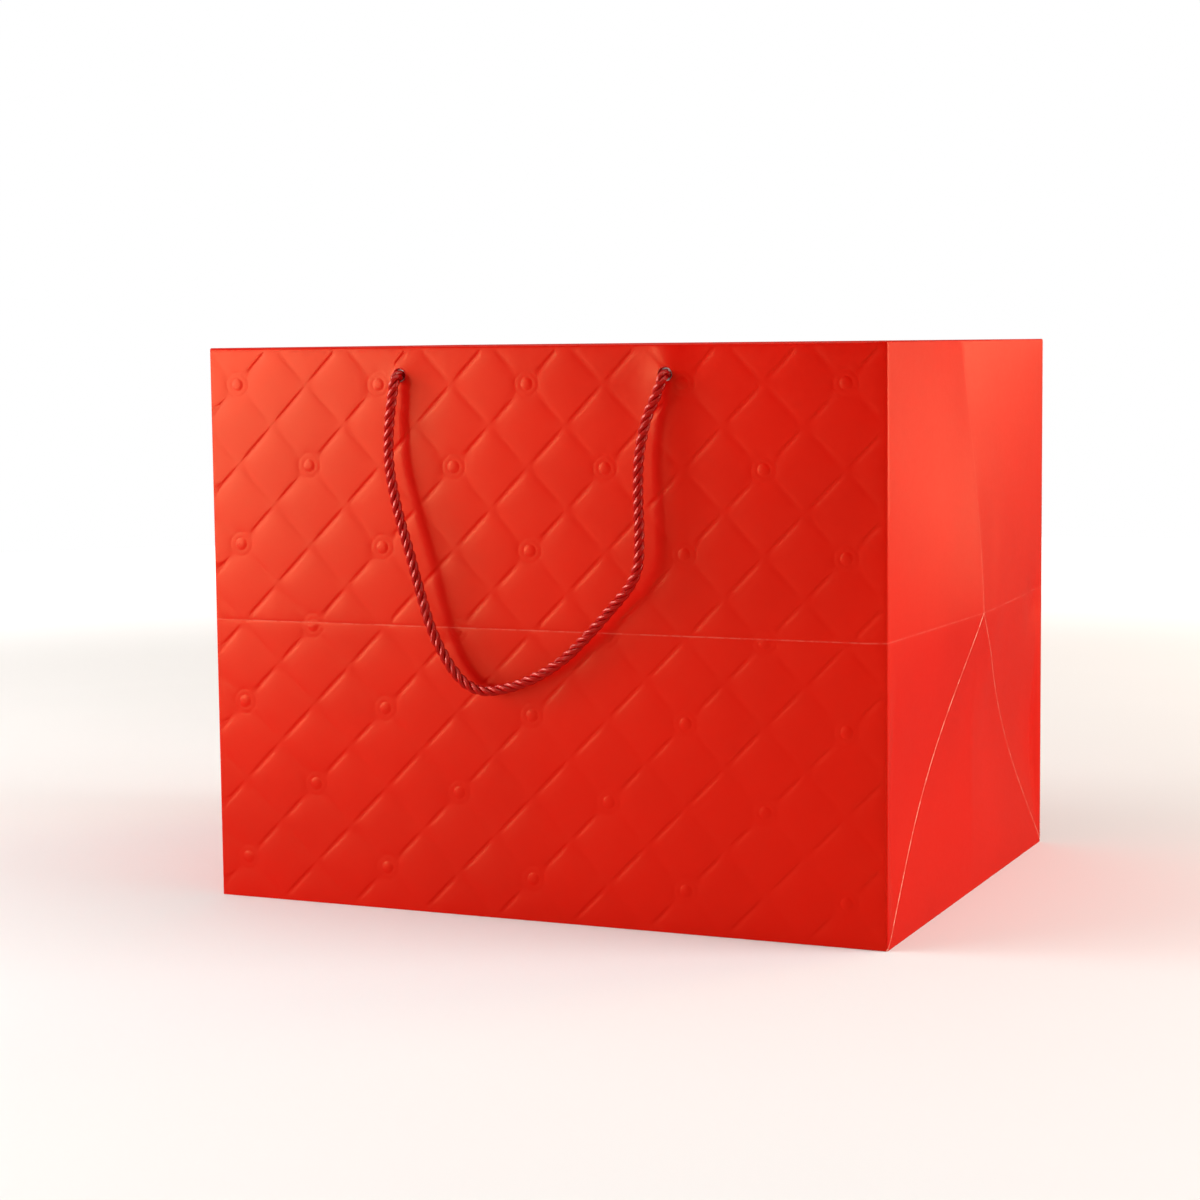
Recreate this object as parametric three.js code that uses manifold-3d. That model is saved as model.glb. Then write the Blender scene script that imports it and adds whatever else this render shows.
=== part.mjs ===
// A quilted paper gift bag with two rope handles, in millimetres, +Z up.
// The origin is the middle of the base, on the surface that the bag stands on.
// The front faces -Y. Each wall is made in a frame of its own, in which outwards is -Y,
// and is then turned about Z to its place: 0 front, 90 right, 180 back, 270 left.

import * as THREE from "three";
import { mergeVertices } from "three/addons/utils/BufferGeometryUtils.js";
import Module from "manifold-3d";

const wasm = await Module();
wasm.setup();

// Overall size of the bag, over its corners
const WIDTH = 350;
const DEPTH = 280;
const HEIGHT = 275;

// Layers: paper, stiffening card, and the gap that is kept between any two pieces
const PAPER = 0.4;
const TOP_CARD = 1.0;
const BASE_CARD = 1.5;
const GAP = 0.3;

// The gusset folds: its centre crease is drawn in at the top and stands out at the apex
const APEX_HEIGHT = DEPTH / 2;
const PINCH = 6;
const BULGE = 6;

// The top edge is turned in by a hem, which holds a card strip on the front and the back
const HEM = 38;
const CARD_MARGIN = 1;
const GLUE_FLAP = 18;

// The bottom is closed by four flaps: right and left inside, back, then front outermost
const FLAP_OVERLAP = 13;
const JOG = 3.5;

// Rope, its holes, the eyelets that line them, and the knots inside
const ROPE_R = 2.5;
const HOLE_SPACING = 138;
const HOLE_HEIGHT = HEIGHT - 14;
const HOLE_R = 3.6;
const EYELET_BORE_R = 2.9;
const EYELET_FLANGE_R = 4.4;
const FLANGE = 0.6;
const KNOT_R = 7;
const KNOT_LENGTH = 12;
const TAIL = 12;

// The rope hangs this far outside the wall at its holes, and turns about that line
const STAND_OFF = 6;

// How finely the round shapes are cut into flats
const HOLE_SIDES = 24;
const EYELET_SIDES = 24;
const ROPE_SIDES = 10;
const ROPE_STEPS = 76;
const STUB_SIDES = 12;
const KNOT_SIDES = 20;
const KNOT_RINGS = 14;
const WELD = 1e-3;

// The loose card on the bottom keeps clear of the walls, so that it can be lifted
const BOARD_CLEARANCE = 3;

// Route of a hanging handle in its wall's frame, from the left hole to the right one:
// x from the wall's middle, how far outside the wall, and how far below the holes
const HANDLE_ROUTE = [
  [-HOLE_SPACING / 2, STAND_OFF, 0],
  [-70, STAND_OFF, 9.5],
  [-71.5, 6.6, 22],
  [-71.5, 7.6, 42],
  [-67, 8.4, 64],
  [-61, 8.6, 84],
  [-55.5, 8.2, 104],
  [-49.5, 7.4, 123],
  [-40, 6.4, 140],
  [-33, 5.8, 147],
  [-25, 5.2, 150],
  [-13, 4.8, 148.5],
  [2, 4.8, 143],
  [17, 5.2, 134],
  [32, 6.2, 120.5],
  [44.5, 7.4, 107.5],
  [53, 8.2, 98],
  [57.5, 8.6, 89],
  [58.5, 8.6, 74],
  [58, 8.2, 56.5],
  [58.5, 7.6, 37],
  [62, 6.6, 20],
  [66.5, STAND_OFF, 9.5],
  [HOLE_SPACING / 2, STAND_OFF, 0],
];

const PAPER_RED = new THREE.MeshStandardMaterial({ color: 0xc8170c, roughness: 0.4, metalness: 0 });
const CARD_GREY = new THREE.MeshStandardMaterial({ color: 0xb9b4aa, roughness: 0.9, metalness: 0 });
const ROPE_RED = new THREE.MeshStandardMaterial({ color: 0x9c0a12, roughness: 0.6, metalness: 0 });
const METAL = new THREE.MeshStandardMaterial({ color: 0xc9c9cc, roughness: 0.25, metalness: 1 });

function piece(name, geometry, material) {
  const mesh = new THREE.Mesh(geometry, material);
  mesh.name = name;
  return mesh;
}

// A flat slab in a wall's plane, between two widths and two heights, with holes through it.
// Its outer face lies at the depth y, and the thickness goes inwards.
function wallSlab(halfWidth, low, high, y, thickness, holes = []) {
  const outline = new THREE.Shape();
  outline.moveTo(-halfWidth, low);
  outline.lineTo(halfWidth, low);
  outline.lineTo(halfWidth, high);
  outline.lineTo(-halfWidth, high);
  outline.closePath();
  for (const [x, z] of holes) {
    const hole = new THREE.Path();
    hole.absarc(x, z, HOLE_R, 0, 2 * Math.PI, true);
    outline.holes.push(hole);
  }
  const slab = new THREE.ExtrudeGeometry(outline, {
    depth: thickness,
    bevelEnabled: false,
    curveSegments: HOLE_SIDES / 2,
  });
  // the outline's y becomes height, and the extrusion runs outwards along -Y
  return slab.rotateX(Math.PI / 2).translate(0, y + thickness, 0);
}

// A sheet folded along the edges between its triangles: each point is the outer face,
// and the sheet's thickness goes inwards, along +Y.
function foldedSheet(points, triangles, thickness) {
  const inner = points.map(([x, y, z]) => [x, y + thickness, z]);
  const count = points.length;
  const faces = [];
  const edges = new Map();
  for (const [a, b, c] of triangles) {
    faces.push([a, b, c], [a + count, c + count, b + count]);
    for (const [from, to] of [[a, b], [b, c], [c, a]]) {
      edges.set(`${from},${to}`, [from, to]);
    }
  }
  for (const [from, to] of edges.values()) {
    if (edges.has(`${to},${from}`)) continue;
    faces.push([from, from + count, to], [to, from + count, to + count]);
  }
  const geometry = new THREE.BufferGeometry();
  const corners = [...points, ...inner].flat();
  geometry.setAttribute("position", new THREE.Float32BufferAttribute(corners, 3));
  geometry.setIndex(faces.flat());
  return geometry;
}

// How far a gusset's centre crease stands outside the line between its corners, at a height:
// it leans out from the base to the apex, and from there in to the drawn-in top.
function creaseOut(z) {
  if (z <= APEX_HEIGHT) return (BULGE * z) / APEX_HEIGHT;
  return BULGE - ((PINCH + BULGE) * (z - APEX_HEIGHT)) / (HEIGHT - APEX_HEIGHT);
}

// A sheet that follows the gusset's folds, between stations along the wall and heights.
// inset is how far it lies inside the gusset's outer face. Each cell is creased from its
// outer low corner to its inner high one, which below the apex is the gusset's diagonal.
function gussetSheet(stations, heights, inset) {
  const points = [];
  for (const z of heights) {
    for (const x of stations) {
      const share = 1 - Math.abs(x) / (DEPTH / 2);
      points.push([x, -WIDTH / 2 + inset - share * creaseOut(z), z]);
    }
  }
  const across = stations.length;
  const triangles = [];
  for (let row = 0; row + 1 < heights.length; row++) {
    for (let i = 0; i + 1 < across; i++) {
      const low = row * across + i;
      const high = low + across;
      if (stations[i] < -GAP) triangles.push([low, low + 1, high + 1], [low, high + 1, high]);
      else triangles.push([low, low + 1, high], [low + 1, high + 1, high]);
    }
  }
  return foldedSheet(points, triangles, PAPER);
}

// Half of a gusset, from its corner to its centre crease, at the wall's left or its right.
function gussetHalf(side) {
  const corner = DEPTH / 2 - PAPER - GAP;
  const stations = side < 0 ? [-corner, -GAP / 2] : [GAP / 2, corner];
  return gussetSheet(stations, [0, APEX_HEIGHT, HEIGHT - HEM, HEIGHT], 0);
}

// The hem of a gusset lies inside it, between the hems of the front and the back.
function gussetHem() {
  const half = DEPTH / 2 - 2 * PAPER - TOP_CARD - 4 * GAP;
  return gussetSheet([-half, 0, half], [HEIGHT - HEM, HEIGHT], PAPER + GAP);
}

// An eyelet clamps the wall, its card and its hem between two flanges, around the rope.
// The profile is radius against distance inwards from the wall's outer face.
function eyelet() {
  const stack = 2 * PAPER + TOP_CARD + 2 * GAP;
  const barrelR = HOLE_R - GAP;
  const round = FLANGE / 2;
  const profile = [
    [EYELET_BORE_R, -GAP - round],
    [EYELET_BORE_R + round, -GAP - FLANGE],
    [EYELET_FLANGE_R - round, -GAP - FLANGE],
    [EYELET_FLANGE_R, -GAP - round],
    [EYELET_FLANGE_R, -GAP],
    [barrelR, -GAP],
    [barrelR, stack + GAP],
    [EYELET_FLANGE_R, stack + GAP],
    [EYELET_FLANGE_R, stack + GAP + round],
    [EYELET_FLANGE_R - round, stack + GAP + FLANGE],
    [EYELET_BORE_R, stack + GAP + FLANGE],
    [EYELET_BORE_R, -GAP - round],
  ];
  const points = profile.map(([r, y]) => new THREE.Vector2(r, y));
  return new THREE.LatheGeometry(points, EYELET_SIDES);
}

function solid(geometry) {
  const plain = geometry.clone();
  plain.deleteAttribute("normal");
  plain.deleteAttribute("uv");
  const merged = mergeVertices(plain, WELD);
  return new wasm.Manifold(
    new wasm.Mesh({
      numProp: 3,
      vertProperties: merged.attributes.position.array,
      triVerts: new Uint32Array(merged.index.array),
    }),
  );
}

function fused(...geometries) {
  const whole = geometries.map(solid).reduce((sum, part) => sum.add(part));
  const mesh = whole.getMesh();
  const geometry = new THREE.BufferGeometry();
  geometry.setAttribute("position", new THREE.Float32BufferAttribute(mesh.vertProperties, 3));
  geometry.setIndex([...mesh.triVerts]);
  return geometry;
}

// A rope end: the stretch through the eyelet, the knot that stops it, and its short tail.
// Its frame is the hole's centre on the wall's outer face, with +Y going inwards.
function ropeEnd() {
  const knotFrom = 2 * PAPER + TOP_CARD + 4 * GAP + FLANGE;
  const knotAt = knotFrom + KNOT_LENGTH / 2;
  const stubFrom = -(STAND_OFF - ROPE_R - GAP);
  const stubLength = knotAt - stubFrom;
  const stub = new THREE.CylinderGeometry(ROPE_R, ROPE_R, stubLength, STUB_SIDES);
  stub.translate(0, stubFrom + stubLength / 2, 0);
  const knot = new THREE.SphereGeometry(1, KNOT_SIDES, KNOT_RINGS);
  knot.scale(KNOT_R, KNOT_LENGTH / 2, KNOT_R).translate(0, knotAt, 0);
  const tailLength = KNOT_R + TAIL;
  const tail = new THREE.CylinderGeometry(ROPE_R, ROPE_R, tailLength, STUB_SIDES);
  tail.rotateX(Math.PI / 2).translate(0, knotAt, -tailLength / 2);
  return fused(stub, knot, tail);
}

// The hanging part of a handle: a round tube along its route.
function handleLoop() {
  const toPoint = ([x, out, drop]) => new THREE.Vector3(x, -DEPTH / 2 - out, HOLE_HEIGHT - drop);
  const route = new THREE.CatmullRomCurve3(HANDLE_ROUTE.map(toPoint), false, "centripetal");
  const section = new THREE.Shape();
  for (let i = 0; i < ROPE_SIDES; i++) {
    const angle = (2 * Math.PI * i) / ROPE_SIDES;
    const [u, v] = [ROPE_R * Math.cos(angle), ROPE_R * Math.sin(angle)];
    if (i === 0) section.moveTo(u, v);
    else section.lineTo(u, v);
  }
  section.closePath();
  return new THREE.ExtrudeGeometry(section, { steps: ROPE_STEPS, extrudePath: route });
}

// A front or back wall: the panel, its card and hem, and a rope handle with all that holds it.
function handledWall(name) {
  const wall = new THREE.Group();
  const face = -DEPTH / 2;
  const holes = [-1, 1].map((side) => [(side * HOLE_SPACING) / 2, HOLE_HEIGHT]);
  const cardFace = face + PAPER + GAP;
  const hemFace = cardFace + TOP_CARD + GAP;
  const inside = WIDTH / 2 - 2 * PAPER - 2 * GAP;
  const panel = wallSlab(WIDTH / 2, 0, HEIGHT, face, PAPER, holes);
  const cardLow = HEIGHT - HEM + CARD_MARGIN;
  const card = wallSlab(inside, cardLow, HEIGHT - CARD_MARGIN, cardFace, TOP_CARD, holes);
  const hem = wallSlab(inside, HEIGHT - HEM, HEIGHT, hemFace, PAPER, holes);
  wall.add(piece(`${name}_panel`, panel, PAPER_RED));
  wall.add(piece(`${name}_top_card`, card, CARD_GREY));
  wall.add(piece(`${name}_hem`, hem, PAPER_RED));
  for (const [x, z] of holes) {
    const end = x < 0 ? "left" : "right";
    const ring = piece(`${name}_eyelet_${end}`, eyelet(), METAL);
    ring.position.set(x, face, z);
    const knot = piece(`${name}_knot_${end}`, ropeEnd(), ROPE_RED);
    knot.position.set(x, face, z);
    wall.add(ring, knot);
  }
  wall.add(piece(`${name}_handle`, handleLoop(), ROPE_RED));
  return wall;
}

// The strip of the next wall's sheet that is glued inside this wall, at its left end.
function glueFlap() {
  const outerEdge = -WIDTH / 2 + PAPER + GAP;
  const low = 2 * PAPER + BASE_CARD;
  const high = HEIGHT - HEM - 2 * GAP;
  const flap = wallSlab(GLUE_FLAP / 2, low, high, -DEPTH / 2 + PAPER + GAP, PAPER);
  return flap.translate(outerEdge + GLUE_FLAP / 2, 0, 0);
}

// A gusset: two half sheets that meet at the centre crease, and the hem inside them.
function gusset(name) {
  const wall = new THREE.Group();
  const [leftEnd, rightEnd] = name === "right" ? ["front", "back"] : ["back", "front"];
  wall.add(piece(`${name}_gusset_${leftEnd}`, gussetHalf(-1), PAPER_RED));
  wall.add(piece(`${name}_gusset_${rightEnd}`, gussetHalf(1), PAPER_RED));
  wall.add(piece(`${name}_hem`, gussetHem(), PAPER_RED));
  return wall;
}

// A long bottom flap: its section across the bag's depth, extruded over the bag's width.
function longFlap(section) {
  const length = WIDTH - 2 * (PAPER + GAP);
  const flap = new THREE.ExtrudeGeometry(section, { depth: length, bevelEnabled: false });
  // the section's x runs along the bag's depth, its y is height, and it is extruded along X
  return flap.rotateX(Math.PI / 2).rotateZ(Math.PI / 2).translate(-length / 2, 0, 0);
}

function frontFlap() {
  const section = new THREE.Shape();
  section.moveTo(-DEPTH / 2 + PAPER + GAP, 0);
  section.lineTo(FLAP_OVERLAP, 0);
  section.lineTo(FLAP_OVERLAP, PAPER);
  section.lineTo(-DEPTH / 2 + PAPER + GAP, PAPER);
  section.closePath();
  return longFlap(section);
}

// The back flap lies on the surface too, and steps up over the edge of the front flap.
function backFlap() {
  const back = DEPTH / 2 - PAPER - GAP;
  const step = FLAP_OVERLAP + GAP + JOG;
  const raised = PAPER + GAP;
  const section = new THREE.Shape();
  section.moveTo(back, 0);
  section.lineTo(back, PAPER);
  section.lineTo(step, PAPER);
  section.lineTo(step - JOG, raised + PAPER);
  section.lineTo(-FLAP_OVERLAP, raised + PAPER);
  section.lineTo(-FLAP_OVERLAP, raised);
  section.lineTo(step - JOG, raised);
  section.lineTo(step, 0);
  section.closePath();
  return longFlap(section);
}

// A side flap is tucked in under the base board as a triangle that ends in the middle.
function sideFlap() {
  const edge = -WIDTH / 2 + PAPER + GAP;
  const half = DEPTH / 2 - 2 * PAPER - 2 * GAP;
  const outline = new THREE.Shape();
  outline.moveTo(-half, edge);
  outline.lineTo(half, edge);
  outline.lineTo(0, edge + half);
  outline.closePath();
  const level = 2 * (PAPER + GAP);
  const flap = new THREE.ExtrudeGeometry(outline, { depth: PAPER, bevelEnabled: false });
  return flap.translate(0, 0, level);
}

function baseBoard() {
  const level = 3 * (PAPER + GAP);
  const board = new THREE.BoxGeometry(
    WIDTH - 2 * BOARD_CLEARANCE,
    DEPTH - 2 * BOARD_CLEARANCE,
    BASE_CARD,
  );
  return board.translate(0, 0, level + BASE_CARD / 2);
}

// Turns a wall, made facing -Y, about Z to its place on the bag.
function turned(wall, degrees) {
  wall.rotation.z = THREE.MathUtils.degToRad(degrees);
  return wall;
}

const bag = new THREE.Group();
bag.add(turned(handledWall("front"), 0), turned(handledWall("back"), 180));
bag.add(turned(gusset("right"), 90), turned(gusset("left"), 270));
bag.add(turned(piece("front_glue_flap", glueFlap(), PAPER_RED), 0));
bag.add(turned(piece("back_glue_flap", glueFlap(), PAPER_RED), 180));
bag.add(piece("front_bottom_flap", frontFlap(), PAPER_RED));
bag.add(piece("back_bottom_flap", backFlap(), PAPER_RED));
bag.add(turned(piece("right_bottom_flap", sideFlap(), PAPER_RED), 90));
bag.add(turned(piece("left_bottom_flap", sideFlap(), PAPER_RED), 270));
bag.add(piece("base_board", baseBoard(), CARD_GREY));

export default bag;
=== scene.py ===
import math

import bmesh
import bpy
import numpy as np
from mathutils import Matrix, Vector, geometry


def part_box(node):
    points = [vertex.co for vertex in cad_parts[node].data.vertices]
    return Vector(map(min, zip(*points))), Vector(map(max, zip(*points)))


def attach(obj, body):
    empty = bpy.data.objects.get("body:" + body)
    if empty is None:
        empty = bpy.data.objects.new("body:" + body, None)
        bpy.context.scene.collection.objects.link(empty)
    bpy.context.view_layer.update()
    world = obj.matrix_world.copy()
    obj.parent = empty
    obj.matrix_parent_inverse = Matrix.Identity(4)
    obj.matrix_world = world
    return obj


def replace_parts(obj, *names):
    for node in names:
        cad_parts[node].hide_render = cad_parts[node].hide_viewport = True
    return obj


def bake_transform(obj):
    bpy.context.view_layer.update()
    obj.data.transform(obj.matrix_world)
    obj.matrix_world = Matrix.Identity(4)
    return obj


MM = 0.001
# the clearance that touching CAD pieces keep
GAP = 0.3 * MM

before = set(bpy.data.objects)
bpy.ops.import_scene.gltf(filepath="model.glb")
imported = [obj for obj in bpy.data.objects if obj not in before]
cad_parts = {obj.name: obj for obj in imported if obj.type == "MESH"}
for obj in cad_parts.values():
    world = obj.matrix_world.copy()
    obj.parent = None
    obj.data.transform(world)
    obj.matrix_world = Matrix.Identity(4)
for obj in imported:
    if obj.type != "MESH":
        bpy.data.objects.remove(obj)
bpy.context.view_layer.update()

# ---------------------------------------------------------------- sizes read from the frame

FRONT_LOW, FRONT_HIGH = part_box("front_panel")
BACK_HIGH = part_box("back_panel")[1]
GUSSET_LOW, GUSSET_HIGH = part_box("right_gusset_front")
WIDTH = FRONT_HIGH[0] - FRONT_LOW[0]
DEPTH = BACK_HIGH[1] - FRONT_LOW[1]
HEIGHT = FRONT_HIGH[2]
PAPER = FRONT_HIGH[1] - FRONT_LOW[1]
BULGE = GUSSET_HIGH[0] - WIDTH / 2
PINCH = WIDTH / 2 - GUSSET_LOW[0] - PAPER
APEX = DEPTH / 2
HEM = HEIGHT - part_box("front_hem")[0][2]
# distance between the middles of the wall and of its hem, on a front wall and on a gusset
FRONT_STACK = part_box("front_hem")[0][1] - FRONT_LOW[1]
GUSSET_STACK = PAPER + GAP
BOARD_LOW, BOARD_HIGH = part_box("base_board")

EYELET_LOW, EYELET_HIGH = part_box("front_eyelet_right")
HOLE_X = (EYELET_LOW[0] + EYELET_HIGH[0]) / 2
HOLE_Z = (EYELET_LOW[2] + EYELET_HIGH[2]) / 2
HOLE_R = 3.6 * MM
HOLE_SIDES = 32

STAND_OFF = 6 * MM

# Route of a hanging handle in its wall's frame, from the left hole to the right one:
# x from the wall's middle, how far outside the wall, and how far below the holes
HANDLE_ROUTE = [
    (-HOLE_X, STAND_OFF, 0.0),
    (-0.070, STAND_OFF, 0.0095),
    (-0.0715, 0.0066, 0.022),
    (-0.0715, 0.0076, 0.042),
    (-0.067, 0.0084, 0.064),
    (-0.061, 0.0086, 0.084),
    (-0.0555, 0.0082, 0.104),
    (-0.0495, 0.0074, 0.123),
    (-0.040, 0.0064, 0.140),
    (-0.033, 0.0058, 0.147),
    (-0.025, 0.0052, 0.150),
    (-0.013, 0.0048, 0.1485),
    (0.002, 0.0048, 0.143),
    (0.017, 0.0052, 0.134),
    (0.032, 0.0062, 0.1205),
    (0.0445, 0.0074, 0.1075),
    (0.053, 0.0082, 0.098),
    (0.0575, 0.0086, 0.089),
    (0.0585, 0.0086, 0.074),
    (0.058, 0.0082, 0.0565),
    (0.0585, 0.0076, 0.037),
    (0.062, 0.0066, 0.020),
    (0.0665, STAND_OFF, 0.0095),
    (HOLE_X, STAND_OFF, 0.0),
]

# ---------------------------------------------------------------- camera


def make_camera(azimuth, elevation, roll, distance, target, focal):
    """A camera on a sphere round target. Azimuth 0 looks along +Y; angles are in degrees."""
    a, e = math.radians(azimuth), math.radians(elevation)
    back = Vector((math.sin(a) * math.cos(e), -math.cos(a) * math.cos(e), math.sin(e)))
    data = bpy.data.cameras.new("camera")
    data.sensor_width = 36
    data.lens = focal
    data.clip_start = 0.05
    camera = bpy.data.objects.new("camera", data)
    bpy.context.scene.collection.objects.link(camera)
    turn = (-back).to_track_quat("-Z", "Y") @ Matrix.Rotation(math.radians(roll), 3, "Z").to_quaternion()
    camera.rotation_mode = "QUATERNION"
    camera.rotation_quaternion = turn
    camera.location = Vector(target) + back * distance
    bpy.context.scene.camera = camera


make_camera(
    azimuth=23.65,
    elevation=5.68,
    roll=-0.62,
    distance=1.379,
    target=(-0.0266, 0.0, 0.1406),
    focal=78.5,
)

# ---------------------------------------------------------------- material helpers


class Nodes:
    """A material's node tree, with short calls for the nodes that this script uses."""

    def __init__(self, name):
        self.material = bpy.data.materials.new(name)
        self.material.use_nodes = True
        self.tree = self.material.node_tree
        self.shader = self.tree.nodes["Principled BSDF"]

    def add(self, kind, **settings):
        node = self.tree.nodes.new(kind)
        for key, value in settings.items():
            setattr(node, key, value)
        return node

    def link(self, source, target):
        self.tree.links.new(source, target)

    def math(self, operation, a, b=None, c=None):
        node = self.add("ShaderNodeMath", operation=operation)
        for socket, value in zip(node.inputs, (a, b, c)):
            if value is None:
                continue
            if isinstance(value, (int, float)):
                socket.default_value = value
            else:
                self.link(value, socket)
        return node.outputs[0]

    def coordinates(self):
        """Places on the object, in metres."""
        return self.add("ShaderNodeTexCoord").outputs["Object"]

    def noise(self, scale, detail=2.0, roughness=0.5):
        node = self.add("ShaderNodeTexNoise")
        node.inputs["Scale"].default_value = scale
        node.inputs["Detail"].default_value = detail
        node.inputs["Roughness"].default_value = roughness
        self.link(self.coordinates(), node.inputs["Vector"])
        return node.outputs["Fac"]

    def ramp(self, value, low, high):
        """value stretched so that its low goes to 0 and its high to 1."""
        node = self.add("ShaderNodeMapRange", clamp=True, interpolation_type="SMOOTHSTEP")
        node.inputs["From Min"].default_value = low
        node.inputs["From Max"].default_value = high
        self.link(value, node.inputs["Value"])
        return node.outputs["Result"]

    def span(self, value, low, high, new_low, new_high):
        """value stretched so that its low goes to new_low and its high to new_high."""
        node = self.add("ShaderNodeMapRange", clamp=True)
        limits = {"From Min": low, "From Max": high, "To Min": new_low, "To Max": new_high}
        for key, number in limits.items():
            node.inputs[key].default_value = number
        self.link(value, node.inputs["Value"])
        return node.outputs["Result"]

    def mix(self, share, a, b):
        """Colour a where share is 0, and b where it is 1."""
        node = self.add("ShaderNodeMix", data_type="RGBA")
        colours = [socket for socket in node.inputs if socket.type == "RGBA"]
        for socket, value in zip(colours, (a, b)):
            if isinstance(value, tuple):
                socket.default_value = (*value, 1)
            else:
                self.link(value, socket)
        self.link(share, node.inputs["Factor"])
        return next(socket for socket in node.outputs if socket.type == "RGBA")

    def bump(self, height, distance, below=None):
        """A normal for relief of this height, on top of the normal below."""
        node = self.add("ShaderNodeBump")
        node.inputs["Distance"].default_value = distance
        self.link(height, node.inputs["Height"])
        if below is not None:
            self.link(below, node.inputs["Normal"])
        return node.outputs["Normal"]

    def finish(self, colour=None, roughness=None, normal=None, **fixed):
        """Joins node outputs to the shader, and sets its plain numbers on its own sockets."""
        for key, source in (("Base Color", colour), ("Roughness", roughness), ("Normal", normal)):
            if source is None:
                continue
            if isinstance(source, tuple):
                self.shader.inputs[key].default_value = (*source, 1)
            elif isinstance(source, float):
                self.shader.inputs[key].default_value = source
            else:
                self.link(source, self.shader.inputs[key])
        for key, value in fixed.items():
            self.shader.inputs[key.replace("_", " ")].default_value = value
        return self.material


def sheet_place(nodes):
    """The sheet's own coordinates in metres: along the sheet from its first edge, and up it."""
    uv = nodes.add("ShaderNodeUVMap", uv_map="Sheet")
    split = nodes.add("ShaderNodeSeparateXYZ")
    nodes.link(uv.outputs["UV"], split.inputs["Vector"])
    return split.outputs["X"], split.outputs["Y"]


def near_zero(nodes, distance, half_width):
    """1 where distance is 0, falling to 0 at half_width on both sides."""
    size = nodes.math("ABSOLUTE", distance)
    return nodes.math("SUBTRACT", 1.0, nodes.ramp(size, half_width * 0.3, half_width))


# The red under the film, the bare white side, and the colour and half widths of the pale lines along the
# folds, which are partly wear and partly painted highlight
RED_LOW = (0.60, 0.0007, 0.0003)
RED_HIGH = (0.66, 0.0012, 0.0005)
WHITE_LOW = (0.80, 0.79, 0.77)
WHITE_HIGH = (0.86, 0.85, 0.83)
WEAR_AND_HIGHLIGHT_COLOUR = (0.95, 0.50, 0.36)
WEAR_AND_HIGHLIGHT_DIAGONAL = 0.75 * MM
WEAR_AND_HIGHLIGHT_CREASE = 0.45 * MM


def laminated_paper():
    """Red art paper under a satin film. Its folds carry paler lines that are partly scuffed film and
    partly a painted highlight.
    """
    n = Nodes("laminated_paper")
    along, up = sheet_place(n)
    tone = n.noise(9.0, detail=3.0)
    colour = n.mix(n.ramp(tone, 0.3, 0.7), RED_LOW, RED_HIGH)

    # pale lines, partly wear and partly painted highlight on the folds: the gusset's diagonals up to the
    # apex, its centre crease above it, and the level crease all round
    centre = n.math("SUBTRACT", along, WIDTH + DEPTH / 2)
    side = n.math("ABSOLUTE", centre)
    diagonal = n.math("SUBTRACT", n.math("ADD", side, up), APEX)
    in_gusset = n.math("LESS_THAN", side, DEPTH / 2)
    below_apex = n.math("LESS_THAN", up, APEX)
    broken = n.ramp(n.noise(140.0, detail=3.0, roughness=0.7), 0.42, 0.56)
    # the mask of the pale fold lines: partly wear, partly painted highlight
    wear_and_highlight = near_zero(n, diagonal, WEAR_AND_HIGHLIGHT_DIAGONAL)
    wear_and_highlight = n.math("MULTIPLY", wear_and_highlight, n.math("MULTIPLY", in_gusset, below_apex))
    # the painted highlight is fainter on the gusset's far half than on its near half
    far_half = n.span(centre, -0.5 * MM, 0.5 * MM, 1.0, 0.35)
    wear_and_highlight = n.math("MULTIPLY", wear_and_highlight, far_half)
    upper = near_zero(n, centre, WEAR_AND_HIGHLIGHT_CREASE)
    upper = n.math("MULTIPLY", upper, n.math("GREATER_THAN", up, APEX))
    upper = n.math("MULTIPLY", upper, n.span(up, APEX, APEX + 0.06, 0.55, 0.12))
    level = near_zero(n, n.math("SUBTRACT", up, APEX), WEAR_AND_HIGHLIGHT_CREASE)
    level = n.math("MULTIPLY", level, n.span(in_gusset, 0.0, 1.0, 0.13, 0.12))
    wear_and_highlight = n.math("MAXIMUM", n.math("MAXIMUM", wear_and_highlight, upper), level)
    wear_and_highlight = n.math("MULTIPLY", wear_and_highlight, n.span(broken, 0.0, 1.0, 0.35, 1.0))
    # the pale fold lines laid over the red: partly wear, partly painted highlight
    colour = n.mix(n.math("MULTIPLY", wear_and_highlight, 0.85), colour, WEAR_AND_HIGHLIGHT_COLOUR)

    film = n.noise(420.0, detail=2.0)
    fibre = n.noise(60.0, detail=4.0, roughness=0.6)
    both = n.math("MULTIPLY_ADD", film, 0.5, n.math("MULTIPLY", fibre, 0.5))
    roughness = n.span(both, 0.3, 0.7, 0.285, 0.33)
    normal = n.bump(film, 0.004 * MM, below=n.bump(fibre, 0.012 * MM))
    return n.finish(
        colour,
        roughness,
        normal,
        Specular_IOR_Level=0.45,
        Specular_Tint=(1.0, 0.52, 0.20, 1.0),
    )


def bare_paper(name, low, high):
    """The uncoated face or the cut edge of the sheet, with its fibres."""
    n = Nodes(name)
    fibre = n.noise(900.0, detail=4.0, roughness=0.7)
    cloud = n.noise(14.0, detail=3.0)
    share = n.math("MULTIPLY_ADD", fibre, 0.5, n.math("MULTIPLY", cloud, 0.5))
    colour = n.mix(n.ramp(share, 0.35, 0.65), low, high)
    return n.finish(colour, n.span(fibre, 0.3, 0.7, 0.8, 0.95), n.bump(fibre, 0.03 * MM))


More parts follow.
